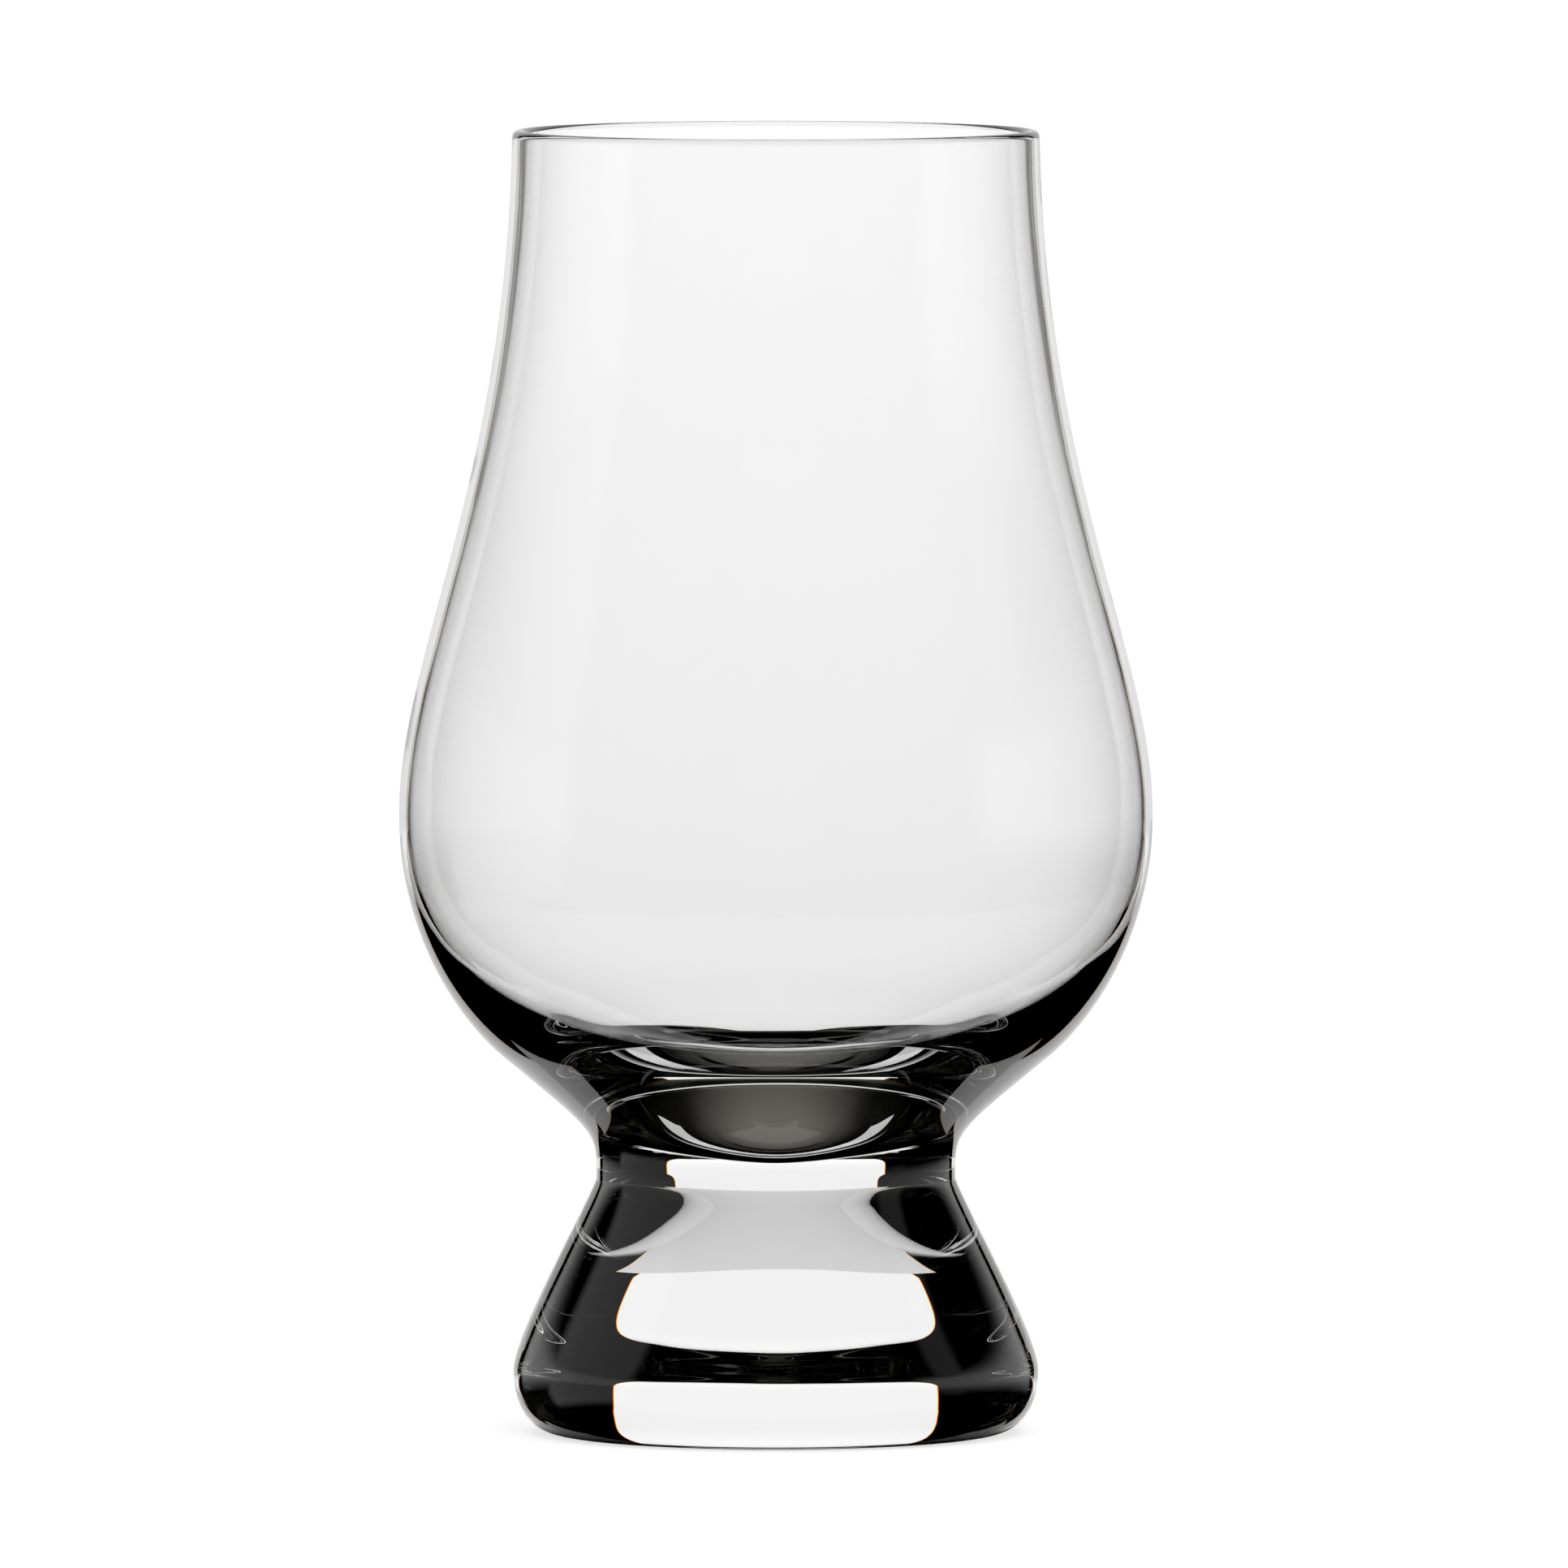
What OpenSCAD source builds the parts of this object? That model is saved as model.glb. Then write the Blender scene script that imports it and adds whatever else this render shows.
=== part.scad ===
// Nosing glass: a blown bowl fused onto a solid pressed foot.
// Millimetres, +Z up. The table is at z = 0 and the axis of the glass is the Z axis.

/* [Rim] */
// Height of the whole glass, from the table to the lip
height = 115; // [110:0.5:125]
// Outer diameter of the rim
rim_d = 46.5; // [42:0.5:50]
// Wall thickness at the rim
rim_wall = 1.2; // [1:0.1:1.6]
// Outward lean of the wall just under the lip, in degrees
rim_lean = 1.1; // [0:0.1:3]

/* [Bowl] */
// Outer diameter of the bowl at its widest
belly_d = 66.5; // [62:0.5:72]
// Height of the widest place above the table
belly_z = 54.7; // [52:0.5:58]
// Wall thickness at the widest place
belly_wall = 0.95; // [0.8:0.05:1.4]

/* [Cup] */
// Inner diameter of the cup where its round side turns into its shallow pointed floor
cup_side_d = 39; // [38:0.1:40]
// Height of that turning place
cup_side_z = 33.8; // [33.4:0.1:34.6]
// Slope of the inner wall there, in degrees away from the axis
cup_side_slope = 64; // [61:0.1:65]
// Height of the lowest point inside the cup
cup_z = 25.1; // [24.8:0.1:26]

/* [Shoulder] */
// Outer diameter under the bowl, where its round underside turns into the hollow of the waist
shoulder_d = 48.7; // [47.5:0.1:51]
// Height of that turning place
shoulder_z = 33.5; // [33:0.1:34.2]
// Slope of the wall there, in degrees away from the axis
shoulder_slope = 50.4; // [47:0.1:54]

/* [Waist] */
// Diameter of the glass at its narrowest, where bowl and foot are fused
waist_d = 31.7; // [30:0.1:33.5]
// Height of the narrowest place
waist_z = 22.6; // [21.5:0.1:23.5]

/* [Foot] */
// Outer diameter of the foot at its widest
foot_d = 46.4; // [43:0.1:50]
// Height of the widest place of the foot
foot_z = 5.5; // [4.5:0.1:6.5]
// Outer diameter of the flat ring that the glass stands on
seat_d = 38; // [36:0.5:40]
// Width of that ring, from its outer edge to the middle of the slope into the hollow
seat_width = 4; // [3:0.5:4.5]
// Depth of the shallow hollow inside the ring
hollow_depth = 0.4; // [0.2:0.1:1]
// Diameter of the small round dimple in the middle of the hollow
dimple_d = 20; // [14:0.5:20]
// Depth of that dimple
dimple_depth = 0.3; // [0.1:0.1:0.6]
// Width of the soft slope at the edge of the hollow and of the dimple
soft_width = 2; // [1:0.1:2.4]

/* [Hidden] */

// How far each curve runs straight on from its first and its last station,
// as shares of the distance between the two
neck_shares = [0.508, 0.229];
belly_shares = [0.582, 0.053];
shoulder_shares = [0.806, 0.294];
foot_shares = [0.055, 0.171];
edge_shares = [0.5, 0.36];
cup_side_shares = [0.573, 0.15];
cup_floor_shares = [0.3, 0.2];

curve_steps = 18;
lip_steps = 8;
slope_steps = 8;
round_fn = 72;

glass_colour = [0.84, 0.86, 0.86, 0.6];
foot_colour = [0.74, 0.76, 0.77, 0.7];

// A station is [radius, height, lean]: the lean is the direction in which an outline passes it,
// in degrees from straight down, positive away from the axis
lip_z = height - rim_wall / 2;
rim = [rim_d / 2, lip_z, rim_lean];
belly = [belly_d / 2, belly_z, 0];
shoulder = [shoulder_d / 2, shoulder_z, -shoulder_slope];
waist = [waist_d / 2, waist_z, 0];
foot_side = [foot_d / 2, foot_z, 0];
seat = [seat_d / 2, 0, -90];

rim_inside = [rim_d / 2 - rim_wall, lip_z, rim_lean];
belly_inside = [belly_d / 2 - belly_wall, belly_z, 0];
cup_side = [cup_side_d / 2, cup_side_z, -cup_side_slope];
cup_bottom = [0, cup_z, -90];

function place(station) = [station[0], station[1]];
function heading(station) = [sin(station[2]), -cos(station[2])];

// Point of a cubic curve through four control points, t running from 0 to 1
function cubic(a, b, c, d, t) =
    pow(1 - t, 3) * a + 3 * pow(1 - t, 2) * t * b + 3 * (1 - t) * pow(t, 2) * c + pow(t, 3) * d;

// Smooth curve from one station down to the next, leaving out its first point
function curve(from, to, shares) =
    let (reach = norm(place(to) - place(from)),
         leave = place(from) + heading(from) * reach * shares[0],
         arrive = place(to) - heading(to) * reach * shares[1])
    [for (i = [1:curve_steps]) cubic(place(from), leave, arrive, place(to), i / curve_steps)];

function reversed(points) = [for (i = [len(points) - 1:-1:0]) points[i]];

// Half-round lip over the wall, from its inner edge to its outer edge
function lip() =
    [for (i = [0:lip_steps])
        let (angle = 180 - 180 * i / lip_steps)
        [rim_d / 2 - rim_wall / 2, lip_z] + rim_wall / 2 * [cos(angle), sin(angle)]];

function bowl_outside() = concat(
    curve(rim, belly, neck_shares),
    curve(belly, shoulder, belly_shares),
    curve(shoulder, waist, shoulder_shares));

function bowl_inside() = concat(
    curve(rim_inside, belly_inside, neck_shares),
    curve(belly_inside, cup_side, cup_side_shares),
    curve(cup_side, cup_bottom, cup_floor_shares));

function foot_outside() = concat(
    [place(waist)],
    curve(waist, foot_side, foot_shares),
    curve(foot_side, seat, edge_shares));

// Soft slope up from one height to the next under the foot, round a circle of the given diameter
function soft_slope(diameter, low, high) =
    [for (i = [0:slope_steps])
        let (share = i / slope_steps)
        [diameter / 2 + soft_width * (1 / 2 - share), low + (high - low) * (1 - cos(180 * share)) / 2]];

// Underside of the foot inside the ring: the shallow hollow and the dimple in its middle
function foot_under() = concat(
    soft_slope(seat_d - 2 * seat_width, 0, hollow_depth),
    soft_slope(dimple_d, hollow_depth, hollow_depth + dimple_depth),
    [[0, hollow_depth + dimple_depth]]);

// Thin-walled blown bowl with its thick bottom, down to the narrowest place
module bowl() {
    color(glass_colour)
    rotate_extrude($fn = round_fn)
    polygon(concat(reversed(bowl_inside()), lip(), bowl_outside(), [[0, waist_z]]));
}

// Solid pressed foot, from the narrowest place down to the table
module foot() {
    color(foot_colour)
    rotate_extrude($fn = round_fn)
    polygon(concat([[0, waist_z]], foot_outside(), foot_under()));
}

bowl();
foot();
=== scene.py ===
# %% [markdown]
# # A nosing glass
#
# This lesson dresses a small tulip-shaped tasting glass: a thin blown bowl that is fused onto a short
# solid foot. Both pieces are clear glass, so their look comes from three things only: exact curves, a
# clean shader, and what the glass has round it to bend and mirror. The lesson takes them in that order.
#
# The measured model is loaded first. It stays as it is.

# %% Load the measured model
import math

import bpy
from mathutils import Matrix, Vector


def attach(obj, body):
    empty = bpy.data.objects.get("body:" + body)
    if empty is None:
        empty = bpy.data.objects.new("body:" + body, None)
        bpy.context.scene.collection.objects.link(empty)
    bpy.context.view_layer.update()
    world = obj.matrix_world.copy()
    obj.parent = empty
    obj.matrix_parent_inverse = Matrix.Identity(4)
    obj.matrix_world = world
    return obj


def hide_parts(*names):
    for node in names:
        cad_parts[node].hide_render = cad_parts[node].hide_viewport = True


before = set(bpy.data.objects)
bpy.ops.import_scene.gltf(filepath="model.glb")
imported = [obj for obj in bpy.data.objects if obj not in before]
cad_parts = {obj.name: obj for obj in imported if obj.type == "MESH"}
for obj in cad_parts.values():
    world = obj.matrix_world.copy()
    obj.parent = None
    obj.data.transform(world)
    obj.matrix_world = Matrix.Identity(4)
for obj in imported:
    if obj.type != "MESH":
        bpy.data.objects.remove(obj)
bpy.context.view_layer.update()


print("nodes:", sorted(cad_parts))


# %% [markdown]
# ## The camera
#
# Product pictures of glassware are taken from far away with a long lens, a little above the rim, so
# that the sides stay upright and the rim shows as a very thin ellipse. The ellipse tells the angle:
# here it is about two degrees at the rim. The camera stands 2.5 metres away and is tilted down a
# little, towards the middle of the picture. The glass stands a hair left of the middle, so the camera
# stands that much to the right.

# %% Place the camera
PICTURE_PIXELS = 1932
PIXELS_PER_METRE = 13970
SENSOR_MM = 36
CAMERA_DISTANCE = 2.5
CAMERA_HEIGHT = 0.2067
AIM_HEIGHT = 0.0573
SIDE_STEP = 10 / PIXELS_PER_METRE

camera = bpy.data.objects.new("camera", bpy.data.cameras.new("camera"))
bpy.context.collection.objects.link(camera)
bpy.context.scene.camera = camera
drop = CAMERA_HEIGHT - AIM_HEIGHT
tilt = math.atan2(drop, CAMERA_DISTANCE)
camera.location = (SIDE_STEP, -CAMERA_DISTANCE, CAMERA_HEIGHT)
camera.rotation_euler = (math.radians(90) - tilt, 0, 0)
camera.data.sensor_width = SENSOR_MM
camera.data.lens = SENSOR_MM / PICTURE_PIXELS * PIXELS_PER_METRE * math.hypot(CAMERA_DISTANCE, drop)
camera.data.clip_start = 0.1
camera.data.clip_end = 50
print(f"lens {camera.data.lens:.1f} mm, tilted down {math.degrees(tilt):.2f} degrees")


# %% [markdown]
# ## The outline
#
# A blown glass is round, so one outline, from the axis out and back to the axis, says everything about
# its shape. Each outline is a chain of smooth curves between a few named places, which are called
# stations here. A station has a radius, a height and a lean: the direction in which the outline passes
# it. Glass shows every kink as a broken line of light, so each curve leaves a station in the same
# direction in which the one before it arrived.
#
# A curve through four control points is the plainest way to do this. The two inner points are set by
# how far the curve runs straight on from each station, as a share of the distance between them.

# %% Stations of the glass, in millimetres and degrees
HEIGHT = 115
RIM_RADIUS = 46.5 / 2
RIM_WALL = 1.2
RIM_LEAN = 1.1
BELLY_RADIUS = 66.5 / 2
BELLY_HEIGHT = 54.7
BELLY_WALL = 0.95
WAIST_HEIGHT = 22.6

lip_height = HEIGHT - RIM_WALL / 2
rim = (RIM_RADIUS, lip_height, RIM_LEAN)
belly = (BELLY_RADIUS, BELLY_HEIGHT, 0)
shoulder = (48.7 / 2, 33.5, -50.4)
waist = (31.7 / 2, WAIST_HEIGHT, 0)
foot_side = (46.4 / 2, 5.5, 0)
seat = (38 / 2, 0, -90)

rim_inside = (RIM_RADIUS - RIM_WALL, lip_height, RIM_LEAN)
belly_inside = (BELLY_RADIUS - BELLY_WALL, BELLY_HEIGHT, 0)
cup_side = (39 / 2, 33.8, -64)
cup_bottom = (0, 25.1, -90)


def place(station):
    """Radius and height of a station."""
    return Vector(station[:2])


def heading(station):
    """Direction in which the outline passes a station."""
    lean = math.radians(station[2])
    return Vector((math.sin(lean), -math.cos(lean)))


def curve(start, end, shares, steps, ease=1):
    """Smooth curve from one station down to the next, with both of its ends.

    An ease above 1 crowds the first steps.
    """
    reach = (place(end) - place(start)).length
    leave = place(start) + heading(start) * reach * shares[0]
    arrive = place(end) - heading(end) * reach * shares[1]
    points = []
    for step in range(steps + 1):
        t = (step / steps) ** ease
        back = 1 - t
        point = back ** 3 * place(start) + 3 * back ** 2 * t * leave
        point += 3 * back * t ** 2 * arrive + t ** 3 * place(end)
        points.append(point)
    return points


cup_depth = HEIGHT - cup_bottom[1]
print(f"wall {RIM_WALL} mm at the rim, {BELLY_WALL} mm at the belly; cup {cup_depth:.1f} mm deep")


# %% [markdown]
# ## Turning an outline into glass
#
# A lathe shape could be made with a Screw modifier or with the Spin tool. Spin is chosen, because it
# leaves plain mesh that can be closed and checked at once. The outline is drawn as by hand: a plane is
# added and merged into one point, and that point is extruded from place to place. Spin then carries it
# round the upright axis in 256 small steps, which is fine enough that no flat shows in the bright
# lines.
#
# Spin leaves a seam and a bunch of doubled points on the axis. They are merged first, and only then are
# the faces turned to point outwards, because light bends the wrong way through a face that is turned
# round.

# %% Helper: draw an outline and spin it
ROUND_STEPS = 256
MERGE_DISTANCE = 2e-7
SMOOTH_BELOW_DEGREES = 35


def spin_outline(name, points):
    """Turned piece from an outline of (radius, height) points in millimetres."""
    points = [Vector((point[0], 0, point[1])) / 1000 for point in points]
    bpy.ops.object.select_all(action="DESELECT")
    bpy.ops.mesh.primitive_plane_add(size=0.001, location=(0, 0, 0))
    piece = bpy.context.active_object
    piece.name = name
    piece.data.name = name
    bpy.ops.object.mode_set(mode="EDIT")
    bpy.ops.mesh.select_mode(type="VERT")
    bpy.ops.mesh.merge(type="CENTER")
    bpy.ops.transform.translate(value=points[0])
    for here, there in zip(points, points[1:]):
        bpy.ops.mesh.extrude_region_move(TRANSFORM_OT_translate={"value": there - here})
    bpy.ops.mesh.select_all(action="SELECT")
    bpy.ops.mesh.spin(steps=ROUND_STEPS, angle=math.tau, center=(0, 0, 0), axis=(0, 0, 1))
    bpy.ops.mesh.select_all(action="SELECT")
    bpy.ops.mesh.remove_doubles(threshold=MERGE_DISTANCE)
    bpy.ops.mesh.normals_make_consistent(inside=False)
    bpy.ops.mesh.select_all(action="DESELECT")
    bpy.ops.object.mode_set(mode="OBJECT")
    bpy.ops.object.shade_smooth_by_angle(angle=math.radians(SMOOTH_BELOW_DEGREES))
    return piece


def measure(piece):
    """Prints a piece's faces and its box, as a first check on its shape."""
    size = [round(side * 1000, 2) for side in piece.dimensions]
    triangles = sum(len(face.vertices) - 2 for face in piece.data.polygons)
    print(f"{piece.name}: {len(piece.data.polygons)} faces, {triangles} triangles, {size} mm")


print(f"one turn is {ROUND_STEPS} steps of {360 / ROUND_STEPS:.2f} degrees")


# %% [markdown]
# ## The bowl
#
# The bowl is blown: a wall of about a millimetre that swells to the belly and draws in again to the
# rim, and a thick bottom where the gather was. The lip is fire-polished to a half round. Inside, the
# wall turns into a shallow pointed floor. That floor is the one shape nobody can measure from outside,
# and it decides most of what the eye sees in the thick glass: the dark band, the bright line under it
# and the dark oval. It was found by trying shapes in the same light, and following rays through them,
# until those lines came where they are in the picture.
#
# The lip is drawn with very fine steps, so the steps of the wall start small under it and grow on the
# way down. One long step beside a fine one would spread the shading of the lip over the wall, as a
# black block.
#
# The outline starts on the axis inside the cup, climbs the inside, goes over the lip, comes down the
# outside and ends on the axis at the waist.

# %% Spin the bowl
LIP_STEPS = 20
NECK_EASE = 1.6
NECK_SHARES = (0.508, 0.229)
BELLY_SHARES = (0.582, 0.053)
SHOULDER_SHARES = (0.806, 0.294)
CUP_SIDE_SHARES = (0.573, 0.15)
CUP_FLOOR_SHARES = (0.3, 0.2)


def lip():
    """Half-round lip over the wall, from its inner edge to its outer edge."""
    middle = Vector((RIM_RADIUS - RIM_WALL / 2, lip_height))
    points = []
    for step in range(1, LIP_STEPS):
        angle = math.pi * (1 - step / LIP_STEPS)
        points.append(middle + RIM_WALL / 2 * Vector((math.cos(angle), math.sin(angle))))
    return points


inside = curve(rim_inside, belly_inside, NECK_SHARES, steps=40, ease=NECK_EASE)
inside += curve(belly_inside, cup_side, CUP_SIDE_SHARES, steps=44)[1:]
inside += curve(cup_side, cup_bottom, CUP_FLOOR_SHARES, steps=28)[1:]
outside = curve(rim, belly, NECK_SHARES, steps=40, ease=NECK_EASE)
outside += curve(belly, shoulder, BELLY_SHARES, steps=36)[1:]
outside += curve(shoulder, waist, SHOULDER_SHARES, steps=40)[1:]
bowl_outline = inside[::-1] + lip() + outside + [Vector((0, WAIST_HEIGHT))]
bowl = spin_outline("bowl_blown", bowl_outline)
measure(bowl)


# %% [markdown]
# ## The foot
#
# The foot is one solid piece, flared like a bell and rounded where it meets the table. It stands on a
# narrow flat ring. Inside the ring the underside is a little hollow, with a round dimple in the middle,
# so that the glass can't rock. Both are less than half a millimetre deep, but the thick glass above
# them works as a lens and shows them as fine arcs.

# %% Spin the foot
SEAT_WIDTH = 4
HOLLOW_DEPTH = 0.4
DIMPLE_RADIUS = 10
DIMPLE_DEPTH = 0.3
SOFT_WIDTH = 2
FOOT_SHARES = (0.055, 0.171)
EDGE_SHARES = (0.5, 0.36)
FLAT_STEPS = 4
SLOPE_STEPS = 12


def straight(start, end):
    """Points on a straight line, without its first one.

    A few in between keep a flat face flat when it is shaded.
    """
    start = Vector(start)
    end = Vector(end)
    return [start.lerp(end, step / FLAT_STEPS) for step in range(1, FLAT_STEPS + 1)]


def soft_slope(radius, low, high):
    """Soft slope from one height to another, round a circle of the given radius."""
    points = []
    for step in range(SLOPE_STEPS + 1):
        share = step / SLOPE_STEPS
        out = radius + SOFT_WIDTH * (0.5 - share)
        points.append(Vector((out, low + (high - low) * (1 - math.cos(math.pi * share)) / 2)))
    return points


def foot_outline():
    """From the axis at the waist down the outside, under the foot and back to the axis."""
    points = [Vector((0, WAIST_HEIGHT))]
    points += curve(waist, foot_side, FOOT_SHARES, steps=56)
    points += curve(foot_side, seat, EDGE_SHARES, steps=24)[1:]
    hollow_slope = soft_slope(seat[0] - SEAT_WIDTH, 0, HOLLOW_DEPTH)
    dimple_slope = soft_slope(DIMPLE_RADIUS, HOLLOW_DEPTH, HOLLOW_DEPTH + DIMPLE_DEPTH)
    points += straight(points[-1], hollow_slope[0])
    points += hollow_slope[1:]
    points += straight(points[-1], dimple_slope[0])
    points += dimple_slope[1:]
    points += straight(points[-1], (0, HOLLOW_DEPTH + DIMPLE_DEPTH))
    return points


foot = spin_outline("foot_pressed", foot_outline())
measure(foot)


# %% [markdown]
# ## Where bowl and foot meet
#
# The real pieces melted together, so light goes from one to the other as if nothing were there. In the
# model they meet on two flat faces, and glass on those would mirror light that should pass. The joint
# faces therefore get a material slot of their own. They are found by their place: all of their corners
# lie at the height of the waist.

# %% Give the joint faces their own slot
SAME_HEIGHT = 1e-6

bpy.context.tool_settings.mesh_select_mode = (False, False, True)


def slot_for_joint(piece, glass, clear):
    """Gives a piece its glass, and the clear material on the flat face at the waist."""
    bpy.ops.object.select_all(action="DESELECT")
    piece.select_set(True)
    bpy.context.view_layer.objects.active = piece
    piece.data.materials.append(glass)
    piece.data.materials.append(clear)
    waist_height = WAIST_HEIGHT / 1000
    corners = piece.data.vertices
    for face in piece.data.polygons:
        heights = [corners[corner].co.z for corner in face.vertices]
        face.select = max(abs(height - waist_height) for height in heights) < SAME_HEIGHT
    count = sum(face.select for face in piece.data.polygons)
    bpy.ops.object.mode_set(mode="EDIT")
    piece.active_material_index = 1
    bpy.ops.object.material_slot_assign()
    bpy.ops.mesh.select_all(action="DESELECT")
    bpy.ops.object.mode_set(mode="OBJECT")
    print(f"{piece.name}: {count} joint faces")


print(f"joint faces are looked for at {WAIST_HEIGHT} mm")


# %% [markdown]
# ## A short way to write shader maths
#
# A shader is a tree of nodes. Written out node by node, one line of arithmetic fills a page. The class
# here wraps a socket, so that Python's own signs add the Math nodes, and every other kind of node comes
# from one method that takes its type, its settings and the values or links of its sockets.

# %% Wrap sockets so that they can be added and multiplied
class Tree:
    """The node tree of a material or a world, emptied and ready to be filled."""

    def __init__(self, owner):
        owner.use_nodes = True
        self.tree = owner.node_tree
        self.tree.nodes.clear()

    def add(self, kind, settings=None, inputs=None):
        """Adds a node: its settings are set first, then its sockets.

        Returns its outputs by name and by number.
        """
        node = self.tree.nodes.new(kind)
        for name, value in (settings or {}).items():
            setattr(node, name, value)
        for key, value in (inputs or {}).items():
            if isinstance(value, Wire):
                self.tree.links.new(value.socket, node.inputs[key])
            else:
                node.inputs[key].default_value = value
        outputs = {number: Wire(self, socket) for number, socket in enumerate(node.outputs)}
        outputs.update({socket.name: outputs[number] for number, socket in enumerate(node.outputs)})
        return outputs


class Wire:
    """One output socket. Sums and products with it are Math nodes."""

    def __init__(self, tree, socket):
        self.tree = tree
        self.socket = socket

    def math(self, operation, *others):
        """Adds a Math node on this value and up to two others."""
        inputs = dict(enumerate((self,) + others))
        return self.tree.add("ShaderNodeMath", {"operation": operation}, inputs)[0]

    def __add__(self, other):
        return self.math("ADD", other)

    def __sub__(self, other):
        return self.math("SUBTRACT", other)

    def __mul__(self, other):
        return self.math("MULTIPLY", other)

    def __rsub__(self, other):
        return (self * -1) + other

    def __lt__(self, other):
        return self.math("LESS_THAN", other)

    def __gt__(self, other):
        return self.math("GREATER_THAN", other)

    __radd__ = __add__
    __rmul__ = __mul__

    def fade(self, low, high):
        """0 below the low value, 1 above the high one, and a soft step between them."""
        limits = {"Value": self, "From Min": low, "From Max": high}
        return self.tree.add("ShaderNodeMapRange", {"interpolation_type": "SMOOTHSTEP"}, limits)[0]


print("signs that add a Math node: + - * < >")


# %% [markdown]
# ## Clear glass
#
# Good drinking glass has almost no colour. What makes it look real is that it isn't perfect: a blown
# wall swells and thins by hundredths of a millimetre, and a pressed foot keeps shallow waves from the
# mould, so the edges of every reflection run slightly crooked. A displaced mesh could show that, but it
# would also bend the flat seat. A bump is chosen: two sizes of soft noise, long waves and short ones,
# stretched round the glass because it was turned while it was hot. Noise on Object coordinates has the
# same size on every piece and stays in place when the glass is moved.
#
# The colour changes by a trace only, from clear to a breath of green-grey.

# %% Materials of the glass
WHITE = (1, 1, 1, 1)
GREEN_GREY = (0.985, 0.99, 0.985, 1)
GLASS_IOR = 1.52
TURNED_STRETCH = (1, 1, 1.8)
WAVE_SCALE = 70.0
RIPPLE_SCALE = 260.0
CLOUD_SCALE = 25.0


def glass_material(name, wave_metres, ripple_metres):
    """Clear glass with long waves and short ripples of the given heights."""
    material = bpy.data.materials.new(name)
    tree = Tree(material)
    spot = tree.add("ShaderNodeTexCoord")["Object"]
    turned = tree.add("ShaderNodeMapping", None, {"Vector": spot, "Scale": TURNED_STRETCH})["Vector"]
    even = {"Vector": turned, "Detail": 0.0}
    waves = tree.add("ShaderNodeTexNoise", None, {**even, "Scale": WAVE_SCALE})["Fac"]
    ripples = tree.add("ShaderNodeTexNoise", None, {**even, "Scale": RIPPLE_SCALE})["Fac"]
    height = waves * wave_metres + ripples * ripple_metres
    bump = {"Strength": 1.0, "Distance": 1.0, "Height": height}
    normal = tree.add("ShaderNodeBump", None, bump)["Normal"]
    cloudy = {"Vector": spot, "Scale": CLOUD_SCALE, "Detail": 2.0}
    cloud = tree.add("ShaderNodeTexNoise", None, cloudy)["Fac"]
    tint = tree.add("ShaderNodeMix", {"data_type": "RGBA"}, {0: cloud, 6: WHITE, 7: GREEN_GREY})[2]
    surface = {
        "Base Color": tint,
        "Roughness": 0.0,
        "IOR": GLASS_IOR,
        "Transmission Weight": 1.0,
        "Normal": normal,
    }
    shader = tree.add("ShaderNodeBsdfPrincipled", None, surface)["BSDF"]
    tree.add("ShaderNodeOutputMaterial", None, {"Surface": shader})
    return material


bowl_glass = glass_material("bowl_glass", wave_metres=4e-5, ripple_metres=2e-6)
foot_glass = glass_material("foot_glass", wave_metres=1.3e-4, ripple_metres=6e-6)
print("glass:", bowl_glass.name, "and", foot_glass.name)


# %% Material of the joint
def joint_material():
    """A face that light passes as if it weren't there."""
    material = bpy.data.materials.new("fused_joint")
    tree = Tree(material)
    surface = {"Base Color": WHITE, "Roughness": 0.0, "Alpha": 0.0}
    shader = tree.add("ShaderNodeBsdfPrincipled", None, surface)["BSDF"]
    tree.add("ShaderNodeOutputMaterial", None, {"Surface": shader})
    return material


fused_joint = joint_material()
slot_for_joint(bowl, bowl_glass, fused_joint)
slot_for_joint(foot, foot_glass, fused_joint)


# %% [markdown]
# ## The pieces take their places
#
# Each dressed piece stands for one node of the measured model, rides on its body and takes its finish.

# %% Tie the pieces to the model
for piece, node, slot in ((bowl, "bowl", "bowl_glass"), (foot, "foot", "foot_glass")):
    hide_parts(node)
    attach(piece, "root")
    print(f"{piece.name} stands for {node}, with the finish {slot}")


# %% [markdown]
# ## The studio round the glass
#
# Clear glass has no look of its own: it shows what stands round it. In the picture a white card stands
# behind the glass and everything else is dark. The card fills the thin bowl, because thin walls hardly
# bend the light. The thick bottom and the foot bend it far to the side, so there the card shrinks to a
# few windows with black between them.
#
# A white card behind the glass would be seen by the camera too, and so would the dark room. So each
# part of the studio asks what kind of ray is looking. Light Path tells a ray that comes straight from
# the camera from one that has been through glass or mirrored in it. Its depths count how often that
# happened: a ray through the four surfaces of the two thin walls has a Transmission Depth of 4, and one
# that was mirrored inside the glass has a Glossy Depth. A clear veil round the foot, made further down,
# adds a third count: it raises the Transparent Depth of the rays that pass through it.
#
# The world is the room: white for the camera, an even grey that lights the floor, and black for the
# glass, apart from a few soft boxes at the sides. These are only mirrored on the outside of the glass.
# Seen through thin walls the room is white between the cards, so that the bowl is bright from every
# side.

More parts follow.
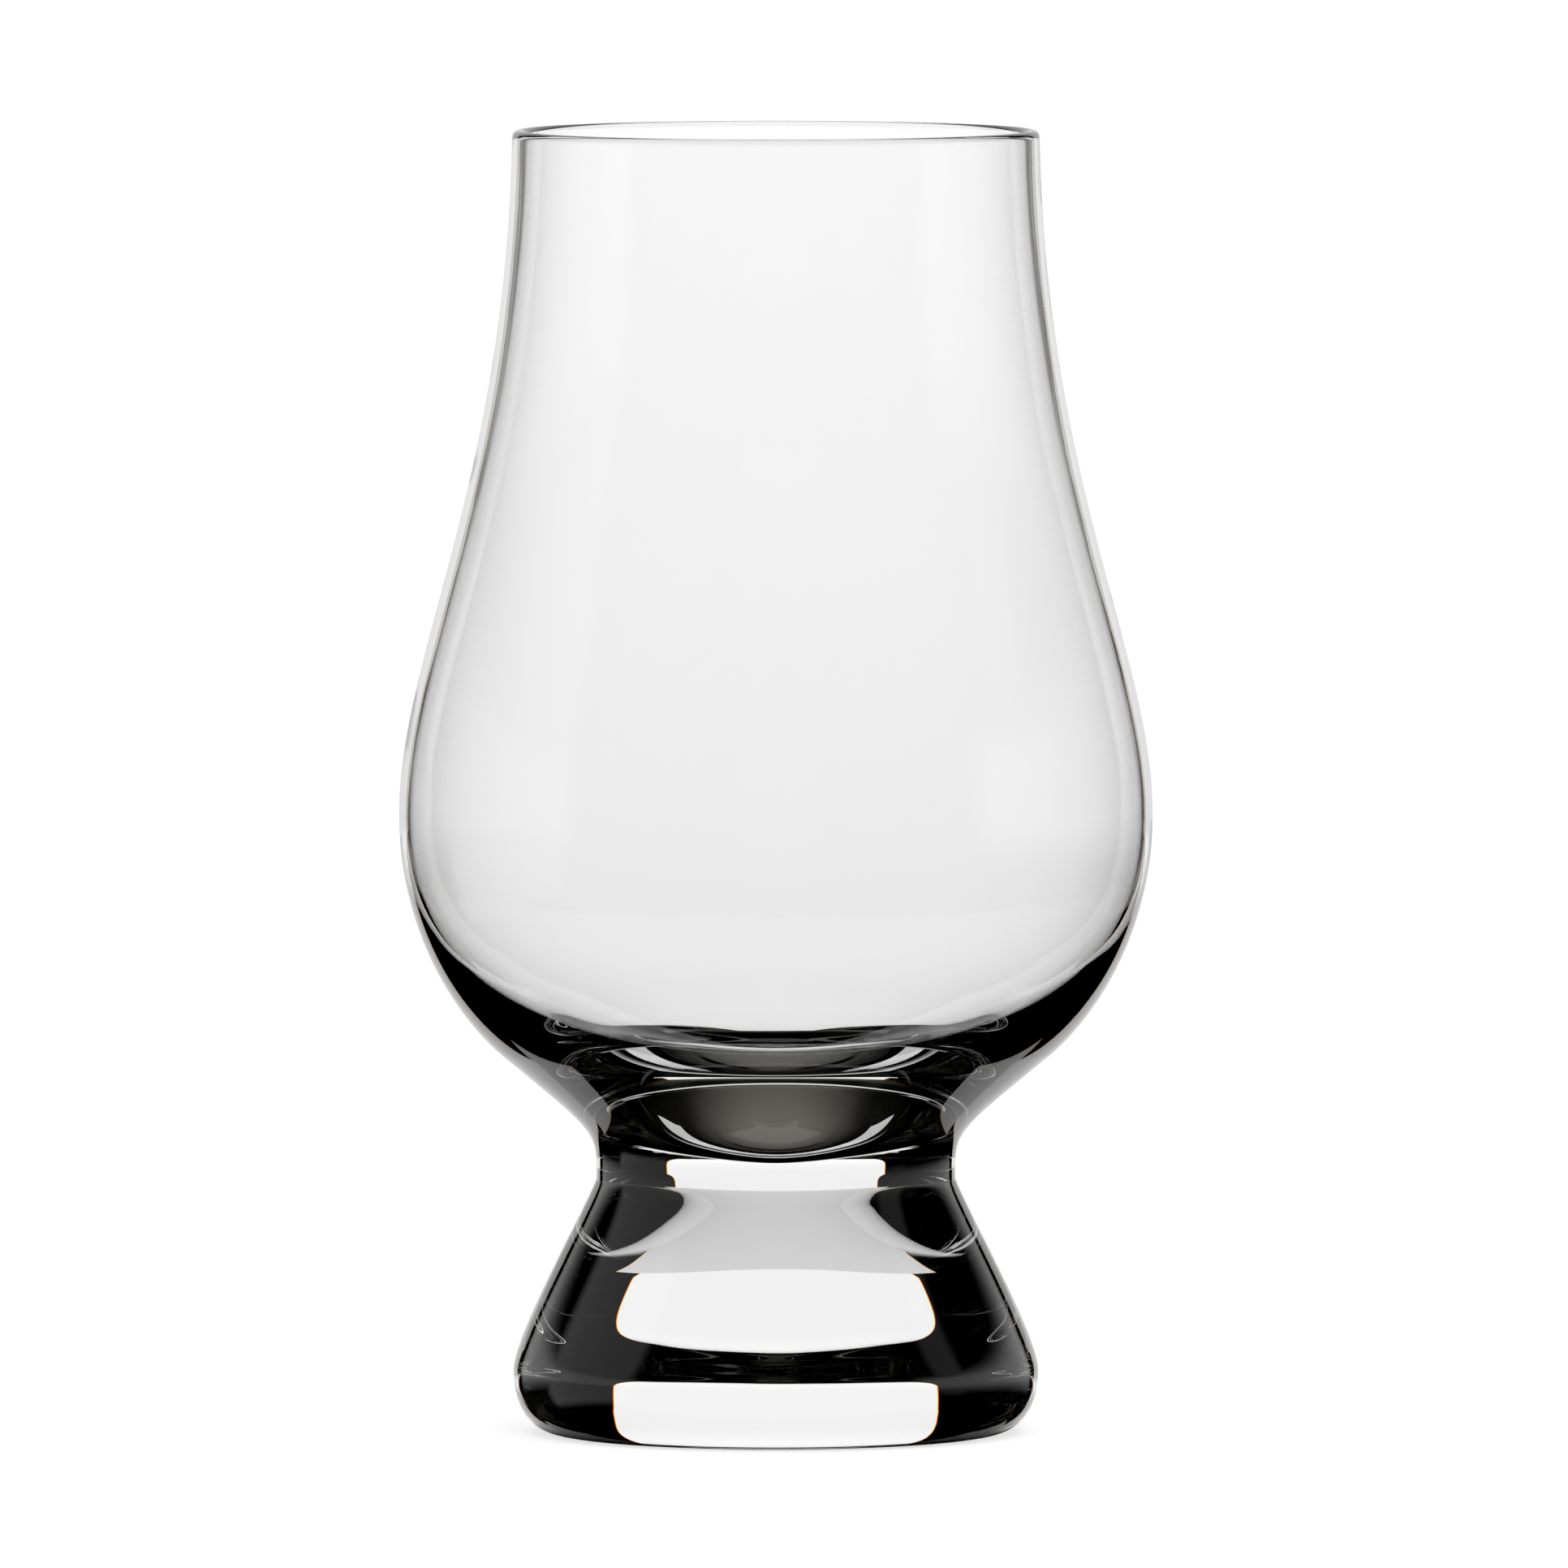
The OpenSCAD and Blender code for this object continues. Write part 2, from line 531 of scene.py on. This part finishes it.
# %% What a ray has met
def met(tree):
    """What a ray has met, each as 0 or 1, by name."""
    path = tree.add("ShaderNodeLightPath")
    through = path["Is Transmission Ray"]
    unmirrored = (path["Glossy Depth"] < 0.5) * through
    over_veil = path["Transparent Depth"] < 1.5
    both_walls = (path["Transmission Depth"] > 3.5) * unmirrored
    return {
        "camera": path["Is Camera Ray"],
        "glass": path["Is Glossy Ray"].math("MAXIMUM", through),
        "mirrored last": 1 - through,
        "unmirrored": unmirrored,
        "over the veil": over_veil,
        "thin walls": both_walls.math("MAXIMUM", over_veil * unmirrored),
        "far wall": over_veil * unmirrored * (path["Transmission Depth"] < 2.5),
    }


print("a ray can tell: camera, glass, mirrored, over the veil, thin walls, far wall")


# %% The world: directions
studio = bpy.data.worlds.new("studio")
bpy.context.scene.world = studio
tree = Tree(studio)
towards = tree.add("ShaderNodeTexCoord")["Generated"]
axes = tree.add("ShaderNodeSeparateXYZ", None, {0: towards})
turn = axes["X"].math("ARCTAN2", axes["Y"]) * math.degrees(1)
rise = axes["Z"].math("ARCSINE") * math.degrees(1)
# Degrees from the nearest of the four directions behind, before, left and right
quarter_turn = ((turn + 405).math("MODULO", 90) - 45).math("ABSOLUTE")
ray = met(tree)
print("turn: 0 degrees behind the glass, 90 to its right; rise: 0 degrees level, 90 straight up")


# %% The world: soft boxes
# Each box has its middle, half its width, its lowest and highest edge and how soft they are, in degrees
TALL_LEFT = (-86, 26, -20, 50, 4)
TALL_RIGHT = (95, 8, -10, 40, 3)
LOW_LEFT = (-72, 42, -6, 14, 5)
LOW_RIGHT = (72, 42, -6, 14, 5)
TALL_LEFT_LEVEL = 0.5
TALL_RIGHT_LEVEL = 0.25
LOW_LEVEL = 0.85


def soft_box(middle, half, low, high, soft):
    """1 where a soft box is seen, 0 beside it."""
    across = 1 - (turn - middle).math("ABSOLUTE").fade(half - soft, half + soft)
    return across * rise.fade(low - soft, low + soft) * (1 - rise.fade(high - soft, high + soft))


tall_left = soft_box(*TALL_LEFT) * TALL_LEFT_LEVEL
tall_right = soft_box(*TALL_RIGHT) * TALL_RIGHT_LEVEL
low_pair = soft_box(*LOW_LEFT).math("MAXIMUM", soft_box(*LOW_RIGHT)) * LOW_LEVEL
soft_boxes = tall_left.math("MAXIMUM", tall_right).math("MAXIMUM", low_pair)
print("soft boxes: two tall ones at the sides of the foot, two low ones at the sides of the bowl")


# %% The world: what each ray sees
SKY_LEVEL = 0.6
BETWEEN_CARDS = (33, 34)
OVER_CARDS = (14, 16)
STEEP_DOWN = (-42, -38)
STEEP_LEVEL = 0.8

white_room = quarter_turn.fade(*BETWEEN_CARDS).math("MAXIMUM", rise.fade(*OVER_CARDS))
white_room = (white_room * ray["thin walls"]).math("MAXIMUM", ray["far wall"])
# Under the foot of the cards the room is pale, as a lit table would be
steep = (1 - rise.fade(*STEEP_DOWN)) * ray["unmirrored"] * STEEP_LEVEL
level = white_room.math("MAXIMUM", steep) + soft_boxes * ray["mirrored last"]
for_glass = tree.add("ShaderNodeCombineColor", None, {0: level, 1: level, 2: level})[0]
sky = (SKY_LEVEL, SKY_LEVEL, SKY_LEVEL, 1)
colour = tree.add("ShaderNodeMix", {"data_type": "RGBA"}, {0: ray["glass"], 6: sky, 7: for_glass})[2]
colour = tree.add("ShaderNodeMix", {"data_type": "RGBA"}, {0: ray["camera"], 6: colour, 7: WHITE})[2]
background = tree.add("ShaderNodeBackground", None, {"Color": colour, "Strength": 1.0})[0]
tree.add("ShaderNodeOutputWorld", None, {"Surface": background})
print(f"world: white for the camera, {SKY_LEVEL} for the floor, dark with soft boxes for the glass")


# %% [markdown]
# ## The cards
#
# One white card stands 30 cm behind the glass, and one on each other side, so that the glass works from
# all round. Only the back card is mirrored in the glass: from the front of the glass, the others would
# fill what is black in the picture.
#
# The table counts as clear for the glass, and the card goes on under it. Its lowest part is wider and
# grey: that is the pale band between the two upper windows of the foot. Towards the top the card gets a
# little brighter, as one does that is lit from above. Each colour ends at a slightly different place,
# which gives the card's edges in the thick glass the fine orange line that real glass gives by
# spreading the colours.
#
# The high part, from 20 cm up, is only there for rays that pass over the veil. Seen through the bottom
# of the bowl it would show as the ghost of a window. For rays mirrored in the glass the card is wider
# and less bright, which draws the quiet outer band of the thin wall.

# %% Material of the cards
CARD_TOP = 0.400
CARD_FOOT = -0.277
GREY_BELOW = -0.149
WHITE_HALF = 0.145
GREY_HALF = 0.189
SIDE_HALF = 0.095
WHITE_TONE = 0.97
GREY_TONE = 0.71
HIGH_PART = (0.17, 0.20)
WALL_EDGE = (0.02, 0.03)
EDGE_TONE = 0.72
EDGE_HALF = 0.162
BRIGHTER_FROM = 0.0145
BRIGHTER_PER_METRE = 1.6
MOST_BRIGHTER = 0.15
FRINGE_METRES = 0.0008
SOFT_EDGE = 0.001


def card_material(name, is_back):
    """A card's pattern, over metres from its middle line and metres above the table."""
    material = bpy.data.materials.new(name)
    tree = Tree(material)
    spot = tree.add("ShaderNodeTexCoord")["Object"]
    axes = tree.add("ShaderNodeSeparateXYZ", None, {0: spot})
    across = axes["X"].math("ABSOLUTE")
    up = axes["Y"]
    ray = met(tree)
    high = up.fade(*HIGH_PART)
    white_part = up.fade(GREY_BELOW - SOFT_EDGE, GREY_BELOW + SOFT_EDGE)
    # Who sees the card at all, and how far it reaches to each side
    if is_back:
        seen = ray["glass"]
        reach = white_part * (WHITE_HALF - GREY_HALF) + GREY_HALF
    else:
        seen = ray["unmirrored"]
        reach = ray["thin walls"] * (WHITE_HALF - SIDE_HALF) + SIDE_HALF
    seen = seen * (1 - high).math("MAXIMUM", ray["over the veil"])
    brighter = ((up - BRIGHTER_FROM) * BRIGHTER_PER_METRE).math("MAXIMUM", 0)
    brighter = brighter.math("MINIMUM", MOST_BRIGHTER)
    tone = white_part * (WHITE_TONE - GREY_TONE) + GREY_TONE + brighter
    # For mirrored rays the card is wider and less bright
    wall_edge = up.fade(*WALL_EDGE) * (1 - ray["unmirrored"])
    tone = tone * (1 - wall_edge * (1 - EDGE_TONE))
    reach = reach + wall_edge * (EDGE_HALF - WHITE_HALF)
    reach = reach.math("MAXIMUM", ray["far wall"]).math("MAXIMUM", high * ray["thin walls"])
    channels = {}
    for number, wider in enumerate((FRINGE_METRES, 0, -FRINGE_METRES)):
        edge = reach + (1 - ray["thin walls"]) * wider
        channels[number] = (1 - (across - edge).fade(-SOFT_EDGE, SOFT_EDGE)) * tone
    colour = tree.add("ShaderNodeCombineColor", None, channels)[0]
    glow = tree.add("ShaderNodeEmission", None, {"Color": colour, "Strength": 1.0})[0]
    clear = tree.add("ShaderNodeBsdfTransparent")[0]
    surface = tree.add("ShaderNodeMixShader", None, {0: seen, 1: clear, 2: glow})[0]
    tree.add("ShaderNodeOutputMaterial", None, {"Surface": surface})
    return material


back_card = card_material("back_card", is_back=True)
side_card = card_material("side_card", is_back=False)
print("card materials:", back_card.name, "and", side_card.name)


# %% Four cards round the glass
CARD_DISTANCE = 0.300
CARD_MARGIN = 0.01
CARDS = (
    ("back", 0, back_card),
    ("left", 90, side_card),
    ("front", 180, side_card),
    ("right", 270, side_card),
)


def place_card(name, degrees, material):
    """A card that faces the glass, with its own origin at the level of the table."""
    angle = math.radians(degrees)
    side = -math.sin(angle) * CARD_DISTANCE
    back = math.cos(angle) * CARD_DISTANCE
    middle = (side, back, (CARD_TOP + CARD_FOOT) / 2)
    bpy.ops.object.select_all(action="DESELECT")
    bpy.ops.mesh.primitive_plane_add(size=1, location=middle, rotation=(math.pi / 2, 0, angle))
    card = bpy.context.active_object
    card.name = "card_" + name
    card.scale = (2 * GREY_HALF + CARD_MARGIN, CARD_TOP - CARD_FOOT, 1)
    bpy.ops.object.transform_apply(location=False, rotation=False, scale=True)
    bpy.context.scene.cursor.location = (side, back, 0)
    bpy.ops.object.origin_set(type="ORIGIN_CURSOR")
    card.data.materials.append(material)
    print(f"{card.name}: {card.dimensions.x:.3f} m wide and {card.dimensions.y:.3f} m high")


for name, degrees, material in CARDS:
    place_card(name, degrees, material)


# %% [markdown]
# ## A veil round the foot
#
# The far wall, seen over the rim, is crossed by two surfaces of glass, and so is the foot. But the far
# wall has to show a white room, and the foot a dark one. A clear tube round the foot tells them apart:
# it can't be seen, but every ray through it counts one more in Transparent Depth.

# %% The veil
VEIL_RADIUS = 0.050
VEIL_HEIGHT = 0.050
OVER_FLOOR = 0.0001

veil_middle = (0, 0, VEIL_HEIGHT / 2 + OVER_FLOOR)
bpy.ops.object.select_all(action="DESELECT")
bpy.ops.mesh.primitive_cylinder_add(
    vertices=64, radius=VEIL_RADIUS, depth=VEIL_HEIGHT, end_fill_type="NOTHING", location=veil_middle
)
veil = bpy.context.active_object
veil.name = "veil"
veil_material = bpy.data.materials.new("clear_veil")
tree = Tree(veil_material)
clear = tree.add("ShaderNodeBsdfTransparent")[0]
tree.add("ShaderNodeOutputMaterial", None, {"Surface": clear})
veil.data.materials.append(veil_material)
print(f"veil: radius {VEIL_RADIUS} m, up to {VEIL_HEIGHT + OVER_FLOOR:.4f} m")


# %% [markdown]
# ## The floor
#
# For the camera the floor is plain white paint. It glows a little, so that it is white without strong
# lamps, and still takes the soft shadow of the glass. The glow is not meant for the glass: its rays
# find the floor clear, or white through thin walls, apart from the patch that the foot stands on. That
# patch holds a painted shadow: for the glass it is painted black, with a painted faint olive-grey glow
# in the middle for the light that comes down through the foot. The thick bottom shows it as the dark
# oval.

# %% Lay the floor
FLOOR_METRES = 12

bpy.ops.object.select_all(action="DESELECT")
bpy.ops.mesh.primitive_plane_add(size=FLOOR_METRES, location=(0, 0, 0))
floor = bpy.context.active_object
floor.name = "floor"
floor_material = bpy.data.materials.new("white_surface")
tree = Tree(floor_material)
spot = tree.add("ShaderNodeTexCoord")["Object"]
away = tree.add("ShaderNodeVectorMath", {"operation": "LENGTH"}, {0: spot})["Value"]
ray = met(tree)
print(f"floor: {FLOOR_METRES} m square, at the level of the table")


# %% What the glass finds on the floor: a painted shadow under the foot
# The painted shadow under the foot is black, with a painted olive-grey glow of light through the foot
# in its middle
PAINTED_SHADOW_BLACK = (0, 0, 0, 1)
PAINTED_GLOW_COLOUR = (0.125, 0.122, 0.105, 1)
PAINTED_SHADOW_EDGE = (0.020, 0.023)
PAINTED_GLOW_SPOT = (0.004, 0.015)
OPEN_END = (0.45, 0.50)

# Painted shadow: for the glass, a black patch where the foot stands, out to the foot's edge
painted_shadow_under_foot = 1 - away.fade(*PAINTED_SHADOW_EDGE)
# Where the painted glow of light through the foot lies, in the middle of the painted shadow
middle = 1 - away.fade(*PAINTED_GLOW_SPOT)
painted_shadow_and_glow = tree.add("ShaderNodeMix", {"data_type": "RGBA"}, {0: middle, 6: PAINTED_SHADOW_BLACK, 7: PAINTED_GLOW_COLOUR})[2]
painted_shadow_emission = tree.add("ShaderNodeEmission", None, {"Color": painted_shadow_and_glow, "Strength": 1.0})[0]
clear = tree.add("ShaderNodeBsdfTransparent")[0]
in_glass = tree.add("ShaderNodeMixShader", None, {0: painted_shadow_under_foot, 1: clear, 2: painted_shadow_emission})[0]
open_floor = tree.add("ShaderNodeEmission", None, {"Color": WHITE, "Strength": 1.0})[0]
open_share = (1 - painted_shadow_under_foot) * (1 - away.fade(*OPEN_END)) * ray["thin walls"]
in_glass = tree.add("ShaderNodeMixShader", None, {0: open_share, 1: in_glass, 2: open_floor})[0]
print(f"in the glass: a dark patch out to {PAINTED_SHADOW_EDGE[1]} m, clear round it")


# %% White paint for the camera
GLOW = 0.62
PAINT = (0.8, 0.8, 0.8, 1)
PAINT_SHADE = (0.78, 0.78, 0.78, 1)
GRAIN_SCALE = 40.0

grainy = {"Vector": spot, "Scale": GRAIN_SCALE, "Detail": 3.0}
grain = tree.add("ShaderNodeTexNoise", None, grainy)["Fac"]
paint = tree.add("ShaderNodeMix", {"data_type": "RGBA"}, {0: grain, 6: PAINT, 7: PAINT_SHADE})[2]
matt = tree.add("ShaderNodeBsdfDiffuse", None, {"Color": paint})[0]
glow = tree.add("ShaderNodeEmission", None, {"Color": WHITE, "Strength": GLOW})[0]
white = tree.add("ShaderNodeAddShader", None, {0: matt, 1: glow})[0]
surface = tree.add("ShaderNodeMixShader", None, {0: ray["glass"], 1: white, 2: in_glass})[0]
# From below, the floor is clear
from_below = tree.add("ShaderNodeNewGeometry")["Backfacing"]
surface = tree.add("ShaderNodeMixShader", None, {0: from_below, 1: surface, 2: clear})[0]
tree.add("ShaderNodeOutputMaterial", None, {"Surface": surface})
floor.data.materials.append(floor_material)
print("floor material:", floor_material.name)


# %% [markdown]
# ## One soft lamp
#
# A large square lamp hangs above the glass. It only has to give the faint shadow, so it is hidden from
# the glass, which would otherwise show it as a bright patch that the picture doesn't have.

# %% The lamp
LAMP_METRES = 1.0
LAMP_WATTS = 4.0
LAMP_PLACE = (0.1, -0.2, 1.2)

lamp = bpy.data.objects.new("overhead_lamp", bpy.data.lights.new("overhead_lamp", "AREA"))
bpy.context.collection.objects.link(lamp)
lamp.data.shape = "SQUARE"
lamp.data.size = LAMP_METRES
lamp.data.energy = LAMP_WATTS
lamp.location = LAMP_PLACE
lamp.rotation_euler = (Vector((0, 0, 0)) - lamp.location).to_track_quat("-Z", "Y").to_euler()
lamp.visible_glossy = False
lamp.visible_transmission = False
lamp.visible_camera = False
print(f"lamp: {LAMP_METRES} m square, {LAMP_WATTS} W, {LAMP_PLACE[2]} m above the table")


# %% [markdown]
# ## How far light is followed
#
# Light crosses four surfaces in the bowl and is thrown about many times in the thick foot. If it is
# given up too soon, the foot fills with false black, so the limits are raised. The view is left as
# plain as it can be.

# %% Render limits and the view
BOUNCES = 32

scene = bpy.context.scene
scene.cycles.max_bounces = BOUNCES
scene.cycles.glossy_bounces = BOUNCES
scene.cycles.transmission_bounces = BOUNCES
scene.cycles.transparent_max_bounces = BOUNCES
scene.view_settings.view_transform = "Standard"
print("light is followed for", BOUNCES, "bounces; view:", scene.view_settings.view_transform)
